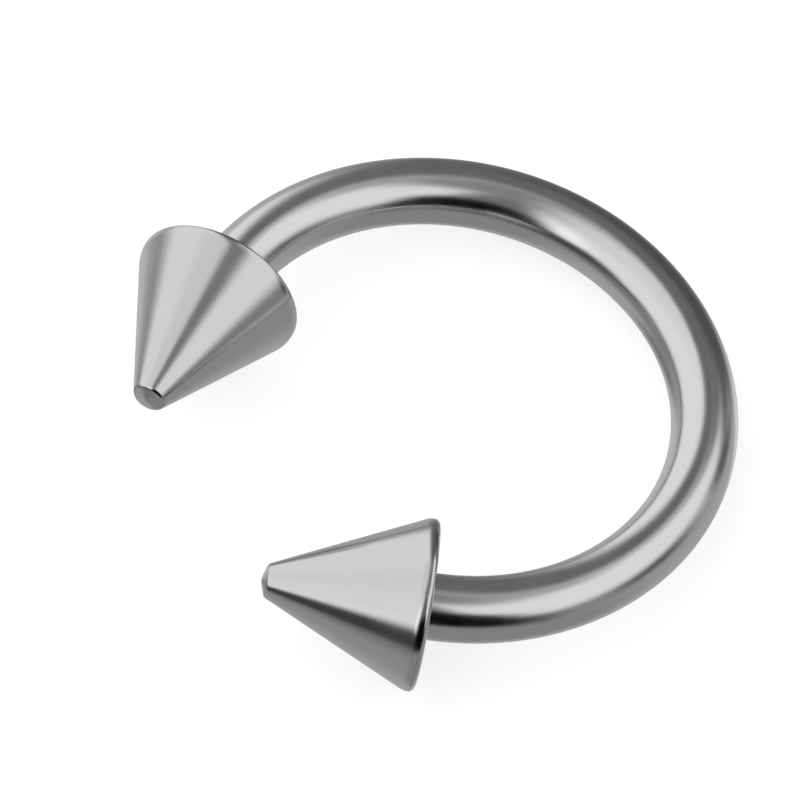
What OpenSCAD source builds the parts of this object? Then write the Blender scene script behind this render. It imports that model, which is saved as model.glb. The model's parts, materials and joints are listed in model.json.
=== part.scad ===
// Horseshoe septum ring: a round steel bar bent to an open ring, with a blunt cone spike on each end.
// The ring lies on its side, as it rests by itself: on the far side of the bar and on the two spikes' rims.
// X runs across the opening, the opening faces -Y, and Z is up from the surface it lies on.

/* [Bar] */
// Thickness of the round wire
wire_d = 1.2; // [1.2:0.1:1.6]
// Width across the inside of the ring
inner_d = 8; // [8:0.5:10]
// Angle at the ring's centre from the middle of the opening to a spike's back
opening_half = 55.5; // [52:0.5:60]
// Thickness of the stud that a spike is screwed on to
stud_d = 1; // [0.8:0.05:1.05]
// Length of that stud
stud_len = 1.6; // [1.2:0.1:1.7]

/* [Spikes] */
// Width of a spike over its rim
spike_d = 3.1; // [3:0.1:3.4]
// Length of a spike from its flat back to the end of its nose
spike_len = 2.96; // [2.8:0.02:3.2]
// Rounding of the rim between the flat back and the side
rim_r = 0.1; // [0.05:0.01:0.15]
// Width where the straight side ends and the blunt nose begins
nose_d = 0.6; // [0.5:0.02:0.8]
// Height of the nose
nose_len = 0.08; // [0.05:0.01:0.2]
// Width of the small flat at the end of the nose
nose_flat_d = 0.1; // [0.1:0.02:0.3]
// Gap all round between a stud and the hole that it sits in
thread_gap = 0.02; // [0.01:0.01:0.05]
// Depth of that hole past the end of the stud
hole_spare = 0.1; // [0.05:0.05:0.15]

/* [Hidden] */

$fn = 96;
rim_steps = 10;
cut_past = 1; // how far a cutting shape starts outside the face that it cuts

wire_r = wire_d / 2;
bend_r = inner_d / 2 + wire_r;
spike_r = spike_d / 2;

// Points of a spike's section are [distance from the axis, height]. The rim's rounding is an arc about
// rim_centre, and the straight side touches that arc and runs to the start of the nose.
rim_centre = [spike_r - rim_r, rim_r];
nose_start = [nose_d / 2, spike_len - nose_len];
side_run = nose_start - rim_centre;
side_faces = atan2(side_run[1], side_run[0]) - acos(rim_r / norm(side_run));

rim_arc = [for (i = [0:rim_steps])
    let (turn = -90 + i * (90 + side_faces) / rim_steps)
    rim_centre + rim_r * [cos(turn), sin(turn)]];
spike_section = concat([[0, 0]], rim_arc, [nose_start, [nose_flat_d / 2, spike_len], [0, spike_len]]);

// Tilt at which the far side of the bar and both rims touch the surface. The two contacts give a
// quadratic in the sine of the tilt.
span = bend_r + bend_r * cos(opening_half) + rim_r * sin(opening_half);
step_up = wire_r - rim_r;
rim_reach = rim_centre[0] * sin(opening_half);
lead = span * span + rim_reach * rim_reach;
rest = rim_centre[0] * rim_centre[0] - step_up * step_up;
tilt = asin((sqrt(span * span * step_up * step_up + lead * rest) - span * step_up) / lead);

// Height of the ring's centre over the surface, and how far the ring reaches from its centre along Y.
centre_z = bend_r * sin(tilt) + wire_r;
back_y = bend_r * cos(tilt) + wire_r;
lean_y = sin(opening_half) * cos(tilt);
front_y = bend_r * cos(opening_half) * cos(tilt)
    + max([for (p = spike_section) p[1] * lean_y + p[0] * sqrt(1 - lean_y * lean_y)]);
centre_y = (front_y - back_y) / 2;

// Puts a shape from the ring's own plane into the pose it lies in, with the box's middle over the origin.
module lying() {
    translate([0, centre_y, centre_z]) rotate([-tilt, 0, 0]) children();
}

// Puts a shape that points up from the origin on the ring's left end, pointing on along the bar.
module at_left_end() {
    rotate([0, 0, 270 - opening_half]) translate([bend_r, 0, 0]) rotate([-90, 0, 0]) children();
}

module stud() {
    cylinder(d = stud_d, h = stud_len);
}

module spike() {
    difference() {
        rotate_extrude() polygon(spike_section);
        translate([0, 0, -cut_past])
            cylinder(r = stud_d / 2 + thread_gap, h = cut_past + stud_len + hole_spare);
    }
}

// The bent bar with a stud on each end.
module horseshoe_bar() {
    color("silver") lying() {
        rotate([0, 0, opening_half - 90])
            rotate_extrude(angle = 360 - 2 * opening_half) translate([bend_r, 0]) circle(d = wire_d);
        at_left_end() stud();
        mirror([1, 0, 0]) at_left_end() stud();
    }
}

module left_spike() {
    color("lightgray") lying() at_left_end() spike();
}

module right_spike() {
    color("lightgray") lying() mirror([1, 0, 0]) at_left_end() spike();
}

horseshoe_bar();
left_spike();
right_spike();
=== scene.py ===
"""Looks of a horseshoe septum ring: bent steel wire, two turned spikes, a pale table and a light tent."""

import json
import logging
import math
from dataclasses import dataclass, field
from enum import Enum
from typing import Any, ClassVar

import bpy
from mathutils import Matrix, Vector


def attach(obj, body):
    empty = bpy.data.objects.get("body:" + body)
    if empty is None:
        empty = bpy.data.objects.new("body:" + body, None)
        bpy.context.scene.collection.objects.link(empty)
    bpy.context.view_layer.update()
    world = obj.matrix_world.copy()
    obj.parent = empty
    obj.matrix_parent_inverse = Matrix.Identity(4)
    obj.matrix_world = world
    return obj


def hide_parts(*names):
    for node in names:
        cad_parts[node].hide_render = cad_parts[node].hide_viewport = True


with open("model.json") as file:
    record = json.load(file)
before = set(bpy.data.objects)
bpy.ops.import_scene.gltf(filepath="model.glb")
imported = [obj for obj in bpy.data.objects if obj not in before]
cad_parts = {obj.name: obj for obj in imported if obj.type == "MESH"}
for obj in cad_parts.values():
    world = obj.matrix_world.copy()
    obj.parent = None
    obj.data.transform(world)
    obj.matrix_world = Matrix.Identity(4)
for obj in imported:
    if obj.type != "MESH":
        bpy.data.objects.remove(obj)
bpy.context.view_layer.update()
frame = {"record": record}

MM = 0.001

# Mesh attributes: how deep a thread is cut at a point, and where the point lay on the straight piece, in mm
THREAD_DEPTH = "thread_depth"
TURNED_PLACE = "turned_place"

Socket = bpy.types.NodeSocket
Feed = Socket | float

log = logging.getLogger("septum_ring")


class Side(Enum):
    """An end of the bar, with the sense in which it lies from the bar's middle, seen from above."""

    LEFT = 1
    RIGHT = -1


@dataclass(frozen=True)
class RingPose:
    """Where the ring lies and how it is bent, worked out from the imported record.

    The ring's own plane has its middle at the ring's centre and the opening towards -Y.

    Attributes:
        wire_r: The wire's radius.
        bend_r: Radius of the line through the middle of the bent wire.
        half_opening: Half of the angle that the opening takes.
        tilt: Angle between the ring's own plane and the table.
        centre: The ring's centre.
    """

    wire_r: float
    bend_r: float
    half_opening: float
    tilt: float
    centre: Vector

    @classmethod
    def read(cls, record: dict, inner_d: float = 8.0 * MM) -> "RingPose":
        """Reads the pose from the seat on the bar's middle and from the way the left spike comes off.

        Args:
            record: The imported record.
            inner_d: Width across the inside of the ring.

        Returns:
            The ring's pose.
        """
        seat = next(m for m in record["mounts"] if m["name"] == "septum_seat")
        slide = next(j for j in record["behaviour"]["joints"] if j["child"] == "left_spike")
        across, out, rise = Vector(slide["axis"]).normalized()
        tilt = math.atan2(rise, -out)
        wire_r = seat["dims"]["r_mm"] * MM
        bend_r = inner_d / 2 + wire_r
        to_seat = Vector((0, math.cos(tilt), -math.sin(tilt)))
        return cls(wire_r, bend_r, math.acos(across), tilt, Vector(seat["pos_m"]) - bend_r * to_seat)

    @property
    def half_length(self) -> float:
        """Length of the bent wire from its middle to a spike's back."""
        return self.bend_r * (math.pi - self.half_opening)

    @property
    def lying(self) -> Matrix:
        """Matrix from the ring's own plane to the frame."""
        return Matrix.Translation(self.centre) @ Matrix.Rotation(-self.tilt, 4, "X")

    def at_end(self, side: Side) -> Matrix:
        """Matrix that puts a piece, turned about X, on one end of the bar, with +X pointing off the end."""
        angle = math.pi / 2 + side.value * (math.pi - self.half_opening)
        place = self.bend_r * Vector((math.cos(angle), math.sin(angle), 0))
        heading = angle + side.value * math.pi / 2
        return self.lying @ Matrix.Translation(place) @ Matrix.Rotation(heading, 4, "Z")


class Wiring:
    """Adds nodes to a node tree and wires them up.

    Attributes:
        tree: The node tree.
        given: The sockets that bring in the inputs of a group.
    """

    def __init__(self, tree: bpy.types.NodeTree) -> None:
        """Works on an existing tree."""
        self.tree = tree
        self.given: bpy.types.bpy_prop_collection | None = None

    @classmethod
    def group(cls, name: str, kind: str, inputs: dict[str, tuple], outputs: dict[str, str]) -> "Wiring":
        """Starts a new node group.

        Args:
            name: The group's name.
            kind: GeometryNodeTree or ShaderNodeTree.
            inputs: Socket type and default value, or None, for each input's name.
            outputs: Socket type for each output's name.

        Returns:
            The wiring of the new group.
        """
        tree = bpy.data.node_groups.new(name, kind)
        for label, (socket_type, default) in inputs.items():
            socket = tree.interface.new_socket(label, in_out="INPUT", socket_type=socket_type)
            if default is not None:
                socket.default_value = default
        for label, socket_type in outputs.items():
            tree.interface.new_socket(label, in_out="OUTPUT", socket_type=socket_type)
        wiring = cls(tree)
        wiring.given = wiring.add("NodeGroupInput").outputs
        return wiring

    def add(self, kind: str, feeds: dict | None = None, **settings: Any) -> bpy.types.Node:
        """Adds a node.

        Args:
            kind: The node's type name.
            feeds: A socket or a constant for each input's name or number.
            **settings: The node's own properties.

        Returns:
            The node.
        """
        node = self.tree.nodes.new(kind)
        for name, value in settings.items():
            setattr(node, name, value)
        for key, value in (feeds or {}).items():
            if isinstance(value, Socket):
                self.tree.links.new(value, node.inputs[key])
            else:
                node.inputs[key].default_value = value
        return node

    def math(self, operation: str, *values: Feed) -> Socket:
        """Adds a Math node and returns its result."""
        return self.add("ShaderNodeMath", dict(enumerate(values)), operation=operation).outputs[0]

    def vector(self, operation: str, *values: Socket | tuple) -> Socket:
        """Adds a Vector Math node and returns its vector."""
        return self.add("ShaderNodeVectorMath", dict(enumerate(values)), operation=operation).outputs[0]

    def combine(self, x: Feed, y: Feed, z: Feed) -> Socket:
        """Adds a Combine XYZ node and returns its vector."""
        return self.add("ShaderNodeCombineXYZ", {"X": x, "Y": y, "Z": z}).outputs[0]

    def separate(self, vector: Socket) -> tuple[Socket, ...]:
        """Adds a Separate XYZ node and returns its three values."""
        return tuple(self.add("ShaderNodeSeparateXYZ", {0: vector}).outputs)

    def ramp(self, value: Feed, low: Feed, high: Feed, to_low: Feed = 0.0, to_high: Feed = 1.0) -> Socket:
        """Adds a smooth step from to_low at low to to_high at high, and returns its result."""
        feeds = {"Value": value, "From Min": low, "From Max": high, "To Min": to_low, "To Max": to_high}
        return self.add("ShaderNodeMapRange", feeds, interpolation_type="SMOOTHSTEP").outputs["Result"]

    def place(self, group: "Wiring", feeds: dict, label: str = "") -> bpy.types.bpy_prop_collection:
        """Places a group in this tree and returns its outputs."""
        kind = self.tree.bl_idname.replace("Tree", "Group")
        return self.add(kind, feeds, node_tree=group.tree, label=label).outputs

    def give(self, outputs: dict[str, Socket]) -> None:
        """Wires the group's outputs."""
        self.add("NodeGroupOutput", outputs)


@dataclass
class Section:
    """Half of a turned piece's section, as points along its axis with their distance from the axis.

    A third value is the depth of a screw thread there: into the piece if positive, out of it if negative.

    Attributes:
        points: The points, in order.
        hold: How far from an arc's end the flat beside it gets a point, so that it shades flat.
    """

    points: list[tuple[float, float, float]] = field(default_factory=list)
    hold: float = 0.005 * MM

    def to(self, along: float, out: float, depth: float = 0.0) -> "Section":
        """Adds one point."""
        self.points.append((along, out, depth))
        return self

    def run(self, along: float, out: float, steps: int, depth: float = 0.0) -> "Section":
        """Adds evenly spaced points from the last one to a new one."""
        start, back, _ = self.points[-1]
        for i in range(1, steps + 1):
            share = i / steps
            self.to(start + (along - start) * share, back + (out - back) * share, depth)
        return self

    def corner(self, at: tuple[float, float], towards: tuple[float, float], radius: float, steps: int,
               steps_before: int = 1) -> "Section":
        """Rounds a corner with an arc, and a point close to each of its ends, so that the flats shade flat.

        Args:
            at: The sharp corner, as its place along the axis and its distance from it.
            towards: A point that the line after the corner runs to.
            radius: The arc's radius.
            steps: The arc's number of parts.
            steps_before: The number of parts of the line that runs up to the arc.

        Returns:
            The section.
        """
        tip = Vector(at)
        back = (Vector(self.points[-1][:2]) - tip).normalized()
        ahead = (Vector(towards) - tip).normalized()
        half = back.angle(ahead) / 2
        cut = radius / math.tan(half)
        centre = tip + (back + ahead).normalized() * (radius / math.sin(half))
        first, last = tip + back * cut - centre, tip + ahead * cut - centre
        sweep = first.angle_signed(last)
        self.run(*(tip + back * (cut + self.hold)), steps_before)
        for i in range(steps + 1):
            arm = first.copy()
            arm.rotate(Matrix.Rotation(-sweep * i / steps, 2))
            self.to(*(centre + arm))
        return self.to(*(tip + ahead * (cut + self.hold)))

    def mirrored(self) -> "Section":
        """Adds the other half of a section that has reached its middle at 0 along its axis."""
        self.points += [(-along, out, depth) for along, out, depth in reversed(self.points[:-1])]
        return self

    def mesh(self, name: str) -> bpy.types.Mesh:
        """Returns the points as a mesh, joined in a row, with the thread's depth as an attribute."""
        mesh = bpy.data.meshes.new(name)
        places = [(along, out, 0.0) for along, out, _ in self.points]
        mesh.from_pydata(places, [(i, i + 1) for i in range(len(places) - 1)], [])
        depths = mesh.attributes.new(THREAD_DEPTH, "FLOAT", "POINT")
        depths.data.foreach_set("value", [depth for _, _, depth in self.points])
        return mesh


class TurningTrees:
    """The Geometry Nodes that turn a half section into a solid piece, straight or bent to a horseshoe.

    Attributes:
        SIZES: Type and usual value of the sizes that every piece has.
        BENDS: The same for the sizes of a bent piece.
        FLANK: Where a thread's flank starts and ends, in pitches from the middle of its crest.
    """

    SIZES = {
        "Sides": ("NodeSocketInt", 96),
        "Thread Pitch": ("NodeSocketFloat", 0.25 * MM),
        "Crease Angle": ("NodeSocketFloat", math.radians(40)),
        "Weld Distance": ("NodeSocketFloat", 1e-7),
    }
    BENDS = {"Bend Radius": ("NodeSocketFloat", 4.6 * MM), "Half Length": ("NodeSocketFloat", 10.0 * MM)}
    FLANK = (0.08, 0.42)

    def __init__(self) -> None:
        """Builds the shared group and the two trees."""
        self.spun = self._spun()
        self.straight = self._finished("turned_piece", bent=False)
        self.bent = self._finished("bent_bar", bent=True)

    def _spun(self) -> Wiring:
        """Builds the group that spins the section about X into a closed skin with its faces outward."""
        inputs = {"Section": ("NodeSocketGeometry", None), **self.SIZES}
        w = Wiring.group("spun_section", "GeometryNodeTree", inputs, {"Skin": "NodeSocketGeometry"})
        section, sides = w.given["Section"], w.given["Sides"]

        # A grid with a row for each point of the section, and a column for each side and one to close it
        rows = w.add("GeometryNodeAttributeDomainSize", {"Geometry": section}, component="MESH")
        columns = w.math("ADD", sides, 1.0)
        counts = {"Vertices X": rows.outputs["Point Count"], "Vertices Y": columns}
        grid = w.add("GeometryNodeMeshGrid", counts).outputs["Mesh"]

        # For each point of the grid: its row's point on the section, and its share of a turn
        index = w.add("GeometryNodeInputIndex").outputs[0]
        row = w.math("FLOOR", w.math("DIVIDE", index, columns))
        turn = w.math("DIVIDE", w.math("SUBTRACT", index, w.math("MULTIPLY", row, columns)), sides)
        point = w.add("GeometryNodeInputPosition").outputs[0]
        named = w.add("GeometryNodeInputNamedAttribute", {"Name": THREAD_DEPTH}, data_type="FLOAT")
        from_point = {"Geometry": section, "Value": point, "Index": row}
        from_depth = {"Geometry": section, "Value": named.outputs["Attribute"], "Index": row}
        sampled = w.add("GeometryNodeSampleIndex", from_point, data_type="FLOAT_VECTOR").outputs[0]
        depth = w.add("GeometryNodeSampleIndex", from_depth, data_type="FLOAT").outputs[0]
        along, out, _ = w.separate(sampled)

        # The thread moves on by a pitch in each turn
        phase = w.math("SUBTRACT", w.math("DIVIDE", along, w.given["Thread Pitch"]), turn)
        from_crest = w.math("ABSOLUTE", w.math("SUBTRACT", w.math("FRACT", phase), 0.5))
        cut = w.ramp(from_crest, *self.FLANK)
        threaded = w.math("SUBTRACT", out, w.math("MULTIPLY", depth, cut))
        angle = w.math("MULTIPLY", turn, math.tau)
        y = w.math("MULTIPLY", threaded, w.math("COSINE", angle))
        z = w.math("MULTIPLY", threaded, w.math("SINE", angle))
        turned = w.combine(along, y, z)

        skin = w.add("GeometryNodeSetPosition", {"Geometry": grid, "Position": turned}).outputs[0]
        in_mm = w.vector("MULTIPLY", turned, (1 / MM, 1 / MM, 1 / MM))
        store = {"Geometry": skin, "Name": TURNED_PLACE, "Value": in_mm}
        skin = w.add("GeometryNodeStoreNamedAttribute", store, data_type="FLOAT_VECTOR").outputs[0]
        weld = {"Geometry": skin, "Distance": w.given["Weld Distance"]}
        skin = w.add("GeometryNodeMergeByDistance", weld).outputs[0]
        skin = w.add("GeometryNodeFlipFaces", {"Mesh": skin}).outputs[0]
        fold = w.add("GeometryNodeInputMeshEdgeAngle").outputs["Unsigned Angle"]
        soft = w.math("LESS_THAN", fold, w.given["Crease Angle"])
        smooth = {"Geometry": skin, "Shade Smooth": soft}
        w.give({"Skin": w.add("GeometryNodeSetShadeSmooth", smooth, domain="EDGE").outputs[0]})
        return w

    def _finished(self, name: str, bent: bool) -> Wiring:
        """Builds a modifier's tree: the spun section, bent or straight, with its material.

        Args:
            name: The tree's name.
            bent: Whether the piece is bent to a horseshoe in its XY plane.

        Returns:
            The tree's wiring.
        """
        inputs = {"Section": ("NodeSocketGeometry", None), **self.SIZES, **(self.BENDS if bent else {})}
        inputs["Material"] = ("NodeSocketMaterial", None)
        w = Wiring.group(name, "GeometryNodeTree", inputs, {"Piece": "NodeSocketGeometry"})
        skin = w.place(self.spun, {key: w.given[key] for key in ("Section", *self.SIZES)})["Skin"]
        if bent:
            skin = w.add("GeometryNodeSetPosition", {"Geometry": skin, "Position": self._bend(w)}).outputs[0]
        real = w.add("GeometryNodeRealizeInstances", {"Geometry": skin}).outputs[0]
        dressed = w.add("GeometryNodeSetMaterial", {"Geometry": real, "Material": w.given["Material"]})
        w.give({"Piece": dressed.outputs[0]})
        return w

    @staticmethod
    def _bend(w: Wiring) -> Socket:
        """Wires where a straight bar's point goes when it is bent. Past the half length it isn't bent."""
        bend_r, half = w.given["Bend Radius"], w.given["Half Length"]
        along, y, z = w.separate(w.add("GeometryNodeInputPosition").outputs[0])
        held = w.math("MINIMUM", w.math("MAXIMUM", along, w.math("MULTIPLY", half, -1.0)), half)
        angle = w.math("DIVIDE", held, bend_r)
        sine, cosine = w.math("SINE", angle), w.math("COSINE", angle)
        past = w.math("SUBTRACT", along, held)
        reach = w.math("ADD", bend_r, y)
        across = w.math("ADD", w.math("MULTIPLY", reach, sine), w.math("MULTIPLY", past, cosine))
        out = w.math("SUBTRACT", w.math("MULTIPLY", reach, cosine), w.math("MULTIPLY", past, sine))
        return w.combine(across, out, z)

    @staticmethod
    def shape(name: str, section: Section, tree: Wiring, sizes: dict, place: Matrix) -> bpy.types.Object:
        """Makes a plain mesh piece from a section, with its place in its mesh.

        Args:
            name: The piece's name.
            section: Its half section.
            tree: The tree that shapes it.
            sizes: Values for the tree's inputs, by name.
            place: Matrix from the piece's own axes to the frame.

        Returns:
            The piece.
        """
        piece = bpy.data.objects.new(name, section.mesh(f"{name}_section"))
        bpy.context.collection.objects.link(piece)
        modifier = piece.modifiers.new("shape", "NODES")
        modifier.node_group = tree.tree
        for item in tree.tree.interface.items_tree:
            if item.item_type == "SOCKET" and item.in_out == "INPUT" and item.name in sizes:
                modifier[item.identifier] = sizes[item.name]
        shaped = piece.evaluated_get(bpy.context.evaluated_depsgraph_get())
        mesh = bpy.data.meshes.new_from_object(shaped)
        piece.modifiers.clear()
        piece.data = mesh
        mesh.name = name
        mesh.transform(place)
        return piece


class Lay(Enum):
    """Which way the polishing lines run: their fineness along the piece's axis and in the two ways across."""

    ALONG_THE_WIRE = (0.12, 16.0, 16.0)
    ROUND_THE_AXIS = (26.0, 0.35, 0.35)


class FinishGroups:
    """Shader groups that more than one steel finish uses.

    Attributes:
        CLOUD_DETAIL: Detail of the noise behind the slow drift.
        GLOSS_SWING: How far the drift moves the roughness, as a share of it.
        LINE_DETAIL: Detail of the noise behind the polishing lines.
        LINE_FRAY: Roughness of that noise.
        SCRATCH_DETAIL: Detail of the noise behind the hairlines.
        SCRATCH_TURNS: The two ways that the hairlines run, as turns about X, Y and Z in radians.
        SCRATCH_EDGE: Levels of the noise where a hairline starts to show and shows in full.
    """

    CLOUD_DETAIL = 3.0
    GLOSS_SWING = 0.8
    LINE_DETAIL = 4.0
    LINE_FRAY = 0.6
    SCRATCH_DETAIL = 1.0
    SCRATCH_TURNS = ((0.3, 0.5, 0.9), (1.1, -0.7, -0.4))
    SCRATCH_EDGE = (0.70, 0.76)

    def __init__(self) -> None:
        """Builds each group once."""
        self.tone = self._tone()
        self.lines = self._lines()
        self.hairlines = self._hairlines()

    def _tone(self) -> Wiring:
        """Builds the slow drift of colour and gloss over polished steel."""
        inputs = {
            "Place": ("NodeSocketVector", None),
            "Colour": ("NodeSocketColor", (0.65, 0.65, 0.65, 1)),
            "Roughness": ("NodeSocketFloat", 0.15),
            "Patch Size": ("NodeSocketFloat", 0.8),
            "Drift": ("NodeSocketFloat", 0.05),
        }
        outputs = {"Colour": "NodeSocketColor", "Roughness": "NodeSocketFloat"}
        w = Wiring.group("steel_tone", "ShaderNodeTree", inputs, outputs)
        fine = w.math("DIVIDE", 1.0, w.given["Patch Size"])
        cloud_feeds = {"Vector": w.given["Place"], "Scale": fine, "Detail": self.CLOUD_DETAIL}
        cloud = w.add("ShaderNodeTexNoise", cloud_feeds)
        swing = w.math("SUBTRACT", cloud.outputs["Fac"], 0.5)
        factor = w.math("ADD", 1.0, w.math("MULTIPLY", swing, w.given["Drift"]))
        colour = w.vector("MULTIPLY", w.given["Colour"], w.combine(factor, factor, factor))
        gloss_factor = w.math("ADD", 1.0, w.math("MULTIPLY", swing, self.GLOSS_SWING))
        w.give({"Colour": colour, "Roughness": w.math("MULTIPLY", w.given["Roughness"], gloss_factor)})
        return w

    def _lines(self) -> Wiring:
        """Builds fine polishing lines that run one way."""
        inputs = {
            "Place": ("NodeSocketVector", None),
            "Fineness": ("NodeSocketVector", (1.0, 1.0, 1.0)),
        }
        w = Wiring.group("polishing_lines", "ShaderNodeTree", inputs, {"Height": "NodeSocketFloat"})
        stretched = w.vector("MULTIPLY", w.given["Place"], w.given["Fineness"])
        feeds = {"Vector": stretched, "Scale": 1.0, "Detail": self.LINE_DETAIL, "Roughness": self.LINE_FRAY}
        w.give({"Height": w.add("ShaderNodeTexNoise", feeds).outputs["Fac"]})
        return w

    def _hairlines(self) -> Wiring:
        """Builds sparse short scratches from handling, in two crossing directions."""
        inputs = {
            "Place": ("NodeSocketVector", None),
            "Length": ("NodeSocketFloat", 0.7),
            "Width": ("NodeSocketFloat", 0.02),
            "Amount": ("NodeSocketFloat", 0.25),
        }
        w = Wiring.group("hairlines", "ShaderNodeTree", inputs, {"Mask": "NodeSocketFloat"})
        long = w.math("DIVIDE", 1.0, w.given["Length"])
        thin = w.math("DIVIDE", 1.0, w.given["Width"])
        marks = []
        for turn in self.SCRATCH_TURNS:
            turn_feeds = {"Vector": w.given["Place"], "Rotation": turn}
            turned = w.add("ShaderNodeVectorRotate", turn_feeds, rotation_type="EULER_XYZ").outputs[0]
            stretched = w.vector("MULTIPLY", turned, w.combine(long, thin, long))
            noise_feeds = {"Vector": stretched, "Scale": 1.0, "Detail": self.SCRATCH_DETAIL}
            noise = w.add("ShaderNodeTexNoise", noise_feeds)
            marks.append(w.ramp(noise.outputs["Fac"], *self.SCRATCH_EDGE))
        both = w.math("MAXIMUM", *marks)
        w.give({"Mask": w.math("MULTIPLY", both, w.given["Amount"])})
        return w


@dataclass(frozen=True)
class SteelFinish:
    """Bright polished surgical steel.

    Attributes:
        name: The material's name.
        slot: Name of the record's slot for it; not used.
        lay: Which way its polishing lines run.
        colour: Its colour.
        roughness: How far it blurs what it mirrors.
        line_height: Height of the polishing lines.
        scratches: Strength of the hairlines.
    """

    name: str
    slot: str
    lay: Lay
    colour: tuple[float, float, float]
    roughness: float
    line_height: float = 0.00002 * MM
    scratches: float = 0.25

    def material(self, groups: FinishGroups) -> bpy.types.Material:
        """Builds the material.

        Args:
            groups: The shared shader groups.

        Returns:
            The material.
        """
        made = bpy.data.materials.new(self.name)
        made.use_nodes = True
        w = Wiring(made.node_tree)
        shader = made.node_tree.nodes["Principled BSDF"]
        shader.inputs["Metallic"].default_value = 1.0
        place = w.add("ShaderNodeAttribute", attribute_name=TURNED_PLACE).outputs["Vector"]
        tone_feeds = {"Place": place, "Colour": (*self.colour, 1.0), "Roughness": self.roughness}
        tone = w.place(groups.tone, tone_feeds)
        lines = w.place(groups.lines, {"Place": place, "Fineness": self.lay.value})["Height"]
        marks = w.place(groups.hairlines, {"Place": place, "Amount": self.scratches})["Mask"]
        rough = w.math("ADD", tone["Roughness"], w.math("MULTIPLY", marks, self.roughness))
        height = w.math("SUBTRACT", lines, marks)
        bump = w.add("ShaderNodeBump", {"Height": height, "Distance": self.line_height, "Strength": 1.0})
        w.tree.links.new(tone["Colour"], shader.inputs["Base Color"])
        w.tree.links.new(rough, shader.inputs["Roughness"])
        w.tree.links.new(bump.outputs[0], shader.inputs["Normal"])
        return made


@dataclass(frozen=True)
class ScrewThread:
    """A screw thread on a stud or in a hole."""

    pitch: float = 0.25 * MM
    depth: float = 0.14 * MM
    rows_a_turn: int = 10

    def rows(self, length: float) -> int:
        """Number of section rows that show the thread over a length."""
        return round(length / self.pitch * self.rows_a_turn)


@dataclass
class HorseshoeBar:
    """The bent wire with a threaded stud on each end.

    Attributes:
        pose: Where the ring lies.
        finish: The steel's finish; not used.
        material: The finish's material.
        thread: The thread on the studs.
        stud_r: A stud's radius over its thread.
        stud_len: A stud's length.
        stud_bevel: Length of the bevel at a stud's end.
        neck_len: Length of the plain neck between the thread and the wire.
        shoulder_round: Radius of the wire's edge beside a stud.
        shoulder_steps: Number of parts of that edge.
        bend_steps: Number of parts of half of the bend.
        sides: Number of sides of the round wire.
    """

    pose: RingPose
    finish: SteelFinish
    material: bpy.types.Material
    thread: ScrewThread = ScrewThread()
    stud_r: float = 0.5 * MM
    stud_len: float = 1.6 * MM
    stud_bevel: float = 0.12 * MM
    neck_len: float = 0.1 * MM
    shoulder_round: float = 0.045 * MM
    shoulder_steps: int = 6
    bend_steps: int = 220
    sides: int = 112

    def section(self) -> Section:
        """Returns the half section of the bar before it is bent, from one stud's end to the other's."""
        wire_r = self.pose.wire_r
        shoulder = -self.pose.half_length
        tip = shoulder - self.stud_len
        root = self.stud_r - self.thread.depth
        full = tip + self.stud_bevel
        neck = shoulder - self.neck_len

        # The stud's flat end and its bevel, the thread, the neck, and the wire's edge
        half = Section().to(tip, 0).to(tip, root - self.stud_bevel / 2).to(tip, root)
        half.to(full, self.stud_r).to(full, self.stud_r, self.thread.depth)
        half.run(neck, self.stud_r, self.thread.rows(neck - full), self.thread.depth)
        half.to(neck, root).to(shoulder, root)
        half.corner((shoulder, wire_r), (0, wire_r), self.shoulder_round, self.shoulder_steps)
        return half.run(0.0, wire_r, self.bend_steps).mirrored()

    def build(self, trees: TurningTrees) -> bpy.types.Object:
        """Builds and dresses the bar."""
        sizes = {
            "Sides": self.sides,
            "Thread Pitch": self.thread.pitch,
            "Bend Radius": self.pose.bend_r,
            "Half Length": self.pose.half_length,
            "Material": self.material,
        }
        piece = trees.shape("bent_bar", self.section(), trees.bent, sizes, self.pose.lying)
        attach(piece, "horseshoe_bar")
        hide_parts("horseshoe_bar")
        return piece


@dataclass(frozen=True)
class Rim:
    """The edge between a spike's flat back and its side: a short band with both its corners rounded.

    Attributes:
        band: Length of the band, with its roundings.
        side_round: Radius towards the side.
        back_round: Radius towards the back.
        side_steps: Number of parts of the rounding towards the side.
        back_steps: Number of parts of the rounding towards the back.
    """

    band: float = 0.12 * MM
    side_round: float = 0.3 * MM
    back_round: float = 0.05 * MM
    side_steps: int = 10
    back_steps: int = 8


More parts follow.
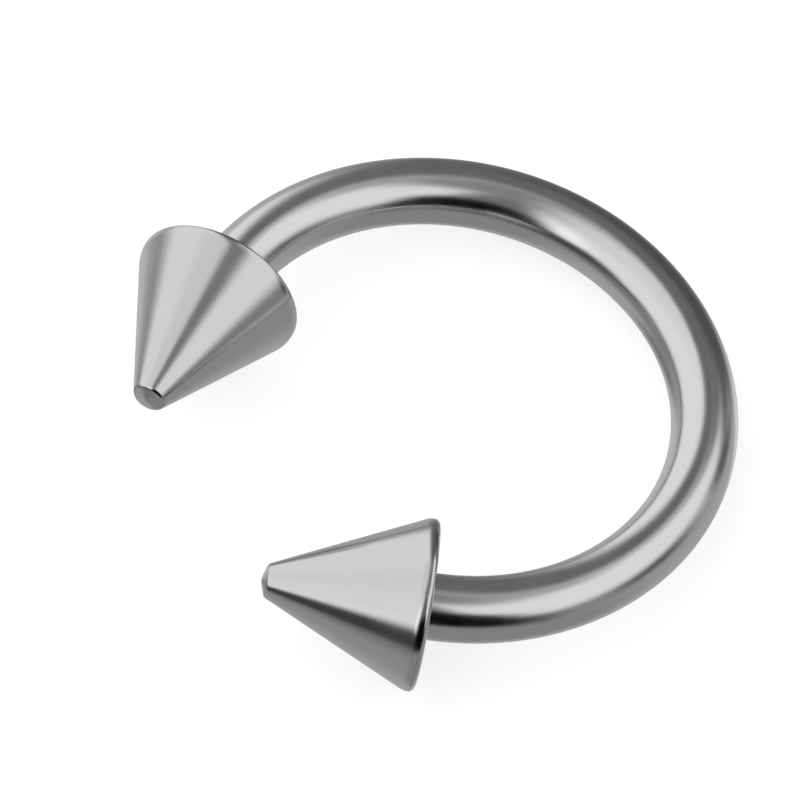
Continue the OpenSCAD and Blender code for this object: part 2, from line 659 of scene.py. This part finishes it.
@dataclass
class ConeSpike:
    """A blunt cone that screws on to one end of the bar.

    Attributes:
        pose: Where the ring lies.
        finish: The steel's finish; not used.
        material: The finish's material.
        side: The end of the bar that it is on.
        rim: Its rim.
        thread: The thread in its hole.
        width: Width over the rim.
        length: Length from the back to the end of the nose.
        nose_r: Radius at the end of the side, before the rounding.
        nose_len: How far the nose bulges past that end.
        nose_round: Radius of the rounding between the side and the nose.
        nose_steps: Number of parts of that rounding.
        tip_r: Radius of the flat spot at the very tip, and of the rounding of its edge.
        tip_steps: Number of parts of that rounding.
        hole_r: The hole's radius.
        hole_depth: The hole's depth.
        countersink: Width and depth of the bevel round the hole's mouth.
        side_steps: Number of parts of the side, along the axis.
        sides: Number of sides round the axis.
    """

    pose: RingPose
    finish: SteelFinish
    material: bpy.types.Material
    side: Side
    rim: Rim = Rim()
    thread: ScrewThread = ScrewThread()
    width: float = 3.09 * MM
    length: float = 2.96 * MM
    nose_r: float = 0.3 * MM
    nose_len: float = 0.08 * MM
    nose_round: float = 0.1 * MM
    nose_steps: int = 10
    tip_r: float = 0.05 * MM
    tip_steps: int = 6
    hole_r: float = 0.52 * MM
    hole_depth: float = 1.7 * MM
    countersink: float = 0.05 * MM
    side_steps: int = 24
    sides: int = 192

    def section(self) -> Section:
        """Returns the spike's half section, from the bottom of its hole round to the end of its nose."""
        mouth = self.countersink
        deep = self.hole_depth - mouth
        back, shoulder = (0, self.width / 2), (self.rim.band, self.width / 2)
        nose, tip = (self.length - self.nose_len, self.nose_r), (self.length, self.tip_r)

        # The hole's bottom, its thread and its bevelled mouth
        half = Section().to(self.hole_depth, 0).to(self.hole_depth, self.hole_r)
        half.to(deep, self.hole_r).to(deep, self.hole_r, -self.thread.depth)
        half.run(mouth * 2, self.hole_r, self.thread.rows(deep - mouth * 2), -self.thread.depth)
        half.to(mouth * 2, self.hole_r).to(mouth, self.hole_r)
        half.to(0, self.hole_r + mouth).to(0, self.hole_r + mouth * 2)

        # The back, the rim, the side and the nose
        half.corner(back, shoulder, self.rim.back_round, self.rim.back_steps)
        half.corner(shoulder, nose, self.rim.side_round, self.rim.side_steps)
        half.corner(nose, tip, self.nose_round, self.nose_steps, self.side_steps)
        half.corner(tip, (self.length, 0), self.tip_r, self.tip_steps)
        return half.to(self.length, 0)

    def build(self, trees: TurningTrees) -> bpy.types.Object:
        """Builds and dresses the spike."""
        name = f"{self.side.name.lower()}_spike"
        sizes = {"Sides": self.sides, "Thread Pitch": self.thread.pitch, "Material": self.material}
        place = self.pose.at_end(self.side)
        piece = trees.shape(f"{name}_turned", self.section(), trees.straight, sizes, place)
        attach(piece, name)
        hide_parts(name)
        return piece


@dataclass(frozen=True)
class Panel:
    """A soft-edged panel of the light tent, by where it shows from the ring.

    Angles are in degrees, and azimuth 0 is straight out through the opening. ALL_ROUND is the half width of a
    panel that goes all round. Softness is the share of a panel's size over which its edge fades each way.
    """

    ALL_ROUND: ClassVar[float] = 400.0

    name: str
    azimuth: float
    elevation: float
    half_width: float
    half_height: float
    softness: float
    brightness: float


@dataclass
class LightTent:
    """A white tent all round, with darker and brighter panels, as the polished steel mirrors them.

    Each panel lies over those before it in the list.

    Attributes:
        SQUARENESS: How square a panel's corners are. At 2 a panel would be an ellipse.
        walls: Brightness of the tent itself.
        backdrop: Brightness that the camera sees behind the ring.
        panels: The panels.
    """

    SQUARENESS: ClassVar[float] = 3.0

    walls: float = 1.0
    backdrop: float = 1.0
    panels: tuple[Panel, ...] = (
        Panel("floor of the tent", 180, -90, Panel.ALL_ROUND, 88, 0.1, 0.46),
        Panel("open roof", 180, 90, Panel.ALL_ROUND, 23, 0.4, 0.27),
        Panel("lit roof on the left", 312, 70, 68, 17, 0.5, 0.88),
        Panel("round the lens", 56, 48, 21, 27, 0.3, 0.18),
        Panel("dark floor on the right", 72, -46, 60, 42, 0.4, 0.31),
        Panel("dark floor on the left", 308, -37, 16, 15, 0.6, 0.22),
        Panel("pale floor behind", 274, -33, 17, 22, 0.65, 0.63),
        Panel("pale floor on the right", 199, -36, 9, 16, 0.6, 1.0),
        Panel("gap on the right", 115, 2, 55, 14, 0.7, 0.31),
        Panel("gap on the left", 348, -6, 48, 15, 0.55, 0.25),
        Panel("gap in front", 22, 5, 30, 13, 0.4, 0.06),
        Panel("stand on the right", 138, 3, 13, 8, 0.6, 0.12),
        Panel("open roof behind", 181, 63, 16, 6, 0.7, 0.43),
        Panel("grey card behind", 219, 16, 28, 54, 0.3, 0.17),
        Panel("light beside the card", 198, 50, 9, 6, 0.8, 0.6),
        Panel("stand beside the card", 176, 2, 9, 13, 0.55, 0.12),
        Panel("step beside the card", 190, 13, 9, 9, 0.6, 0.17),
        Panel("foot of the card", 208, 2, 19, 22, 0.4, 0.1),
        Panel("gap under the lens", 93, 2, 9, 13, 0.8, 0.15),
        Panel("dark beside the lens", 62, 17, 33, 25, 0.25, 0),
        Panel("lamp head", 18, 34, 8, 16, 0.5, 1.3),
    )

    def build(self) -> None:
        """Builds the world."""
        world = bpy.data.worlds.new("light_tent")
        bpy.context.scene.world = world
        world.use_nodes = True
        world.node_tree.nodes.clear()
        w = Wiring(world.node_tree)
        x, y, z = w.separate(w.add("ShaderNodeTexCoord").outputs["Generated"])
        azimuth = w.math("DEGREES", w.math("ARCTAN2", x, w.math("MULTIPLY", y, -1.0)))
        elevation = w.math("DEGREES", w.math("ARCSINE", z))
        group = self._panel_group()
        light = self.walls
        for panel in self.panels:
            feeds = {
                "Under": light,
                "Azimuth": azimuth,
                "Elevation": elevation,
                "Panel Azimuth": panel.azimuth,
                "Panel Elevation": panel.elevation,
                "Half Width": panel.half_width,
                "Half Height": panel.half_height,
                "Softness": panel.softness,
                "Brightness": panel.brightness,
            }
            light = w.place(group, feeds, panel.name)["Light"]

        # The camera itself sees the plain backdrop
        seen = w.add("ShaderNodeLightPath").outputs["Is Camera Ray"]
        to_seen = w.math("MULTIPLY", seen, w.math("SUBTRACT", self.backdrop, light))
        strength = w.math("ADD", light, to_seen)
        shader = w.add("ShaderNodeBackground", {"Color": (1, 1, 1, 1), "Strength": strength})
        w.add("ShaderNodeOutputWorld", {"Surface": shader.outputs[0]})

    def _panel_group(self) -> Wiring:
        """Builds the group that lays one soft-edged panel over what is under it."""
        names = ("Under", "Azimuth", "Elevation", "Panel Azimuth", "Panel Elevation",
                 "Half Width", "Half Height", "Softness", "Brightness")
        inputs = {name: ("NodeSocketFloat", 0.0) for name in names}
        w = Wiring.group("tent_panel", "ShaderNodeTree", inputs, {"Light": "NodeSocketFloat"})
        turned = w.math("SUBTRACT", w.given["Azimuth"], w.given["Panel Azimuth"])
        aside = w.math("WRAP", turned, 180.0, -180.0)
        above = w.math("SUBTRACT", w.given["Elevation"], w.given["Panel Elevation"])
        x = w.math("ABSOLUTE", w.math("DIVIDE", aside, w.given["Half Width"]))
        y = w.math("ABSOLUTE", w.math("DIVIDE", above, w.given["Half Height"]))
        powers = w.math("ADD", w.math("POWER", x, self.SQUARENESS), w.math("POWER", y, self.SQUARENESS))
        away = w.math("POWER", powers, 1 / self.SQUARENESS)
        inner = w.math("SUBTRACT", 1.0, w.given["Softness"])
        outer = w.math("ADD", 1.0, w.given["Softness"])
        w.give({"Light": w.ramp(away, inner, outer, w.given["Brightness"], w.given["Under"])})
        return w


@dataclass
class ClearTable:
    """The sheet under the ring: pale for the camera from above, and clear for the metal and from below.

    Attributes:
        half_width: Half of its width.
        paleness: Share of the light falling on it that it gives back.
        glow: Brightness of its own light, which keeps the ring's shadow faint.
    """

    half_width: float = 1.0
    paleness: float = 0.5
    glow: float = 0.75

    def build(self) -> bpy.types.Object:
        """Builds the table's top."""
        mesh = bpy.data.meshes.new("clear_table")
        side = self.half_width
        corners = [(-side, -side, 0), (side, -side, 0), (side, side, 0), (-side, side, 0)]
        mesh.from_pydata(corners, [], [(0, 1, 2, 3)])
        table = bpy.data.objects.new("clear_table", mesh)
        bpy.context.collection.objects.link(table)
        mesh.materials.append(self._material())
        return table

    def _material(self) -> bpy.types.Material:
        """Builds the sheet's material. The metal mirrors the tent's own floor through it."""
        made = bpy.data.materials.new("clear_sheet")
        made.use_nodes = True
        made.node_tree.nodes.clear()
        w = Wiring(made.node_tree)
        lit = w.add("ShaderNodeBsdfDiffuse", {"Color": (self.paleness,) * 3 + (1,)}).outputs[0]
        glow = w.add("ShaderNodeEmission", {"Strength": self.glow}).outputs[0]
        pale = w.add("ShaderNodeAddShader", {0: lit, 1: glow}).outputs[0]
        seen = w.add("ShaderNodeLightPath").outputs["Is Camera Ray"]
        below = w.add("ShaderNodeNewGeometry").outputs["Backfacing"]
        shown = w.math("MULTIPLY", seen, w.math("SUBTRACT", 1.0, below))
        clear = w.add("ShaderNodeBsdfTransparent").outputs[0]
        whole = w.add("ShaderNodeMixShader", {0: shown, 1: clear, 2: pale}).outputs[0]
        w.add("ShaderNodeOutputMaterial", {"Surface": whole})
        return made


@dataclass
class ProductCamera:
    """A long lens that sees the ring as the photograph does. Pixels are those of an 800 by 800 image.

    Attributes:
        azimuth: Direction to the camera, in degrees round from the opening.
        elevation: Direction to the camera, in degrees above the ring's own plane.
        roll: Turn of the camera about its line of sight, in degrees.
        distance: Distance from the ring's centre.
        centre_px: Where the ring's centre shows.
        px_a_mm: Scale at the ring's centre.
        image_px: Width of the image.
        sensor: Width of the sensor, in millimetres.
        clip_ratio: How many times nearer and farther than the ring the camera still sees.
    """

    azimuth: float = 49.5
    elevation: float = 52.87
    roll: float = 13.83
    distance: float = 357 * MM
    centre_px: tuple[float, float] = (449.3, 398.8)
    px_a_mm: float = 56.18
    image_px: float = 800.0
    sensor: float = 36.0
    clip_ratio: float = 10.0

    def build(self, pose: RingPose) -> bpy.types.Object:
        """Builds the camera and makes it the scene's. Its angles are to the ring's own plane.

        Args:
            pose: The ring's pose.

        Returns:
            The camera.
        """
        turn, rise = math.radians(self.azimuth), math.radians(self.elevation)
        back = Vector((math.sin(turn) * math.cos(rise), -math.cos(turn) * math.cos(rise), math.sin(rise)))
        level = Vector((math.cos(turn), math.sin(turn), 0))
        right = Matrix.Rotation(math.radians(self.roll), 3, back) @ level
        up = back.cross(right)

        # The camera stands aside by as much as the ring's centre shows off the image's middle
        px_a_metre = self.px_a_mm / MM
        middle = self.image_px / 2
        aside = (middle - self.centre_px[0]) / px_a_metre
        above = (self.centre_px[1] - middle) / px_a_metre
        place = back * self.distance + right * aside + up * above
        axes = Matrix((right, up, back)).transposed().to_4x4()

        data = bpy.data.cameras.new("product_camera")
        data.sensor_width = self.sensor
        data.lens = px_a_metre * self.distance / self.image_px * self.sensor
        data.clip_start = self.distance / self.clip_ratio
        data.clip_end = self.distance * self.clip_ratio
        camera = bpy.data.objects.new("product_camera", data)
        bpy.context.collection.objects.link(camera)
        camera.matrix_world = pose.lying @ Matrix.Translation(place) @ axes
        bpy.context.scene.camera = camera
        return camera


def main() -> None:
    """Builds the ring piece by piece, then the table, the tent and the camera."""
    logging.basicConfig(level=logging.INFO, format="%(message)s")
    bpy.context.scene.view_settings.view_transform = "Standard"
    pose = RingPose.read(frame["record"])
    trees, groups = TurningTrees(), FinishGroups()
    drawn = SteelFinish("drawn_steel", "bar_steel", Lay.ALONG_THE_WIRE, (0.68, 0.68, 0.68), 0.18)
    turned = SteelFinish("turned_steel", "spike_steel", Lay.ROUND_THE_AXIS, (0.62, 0.62, 0.62), 0.14)
    drawn_steel, turned_steel = drawn.material(groups), turned.material(groups)
    fuller_rim = Rim(band=0.18 * MM, side_round=0.36 * MM, back_round=0.1 * MM)
    parts = (
        HorseshoeBar(pose, drawn, drawn_steel),
        ConeSpike(pose, turned, turned_steel, Side.LEFT),
        ConeSpike(pose, turned, turned_steel, Side.RIGHT, fuller_rim),
    )
    for part in parts:
        piece = part.build(trees)
    ClearTable().build()
    LightTent().build()
    ProductCamera().build(pose)


if __name__ == "__main__":
    main()
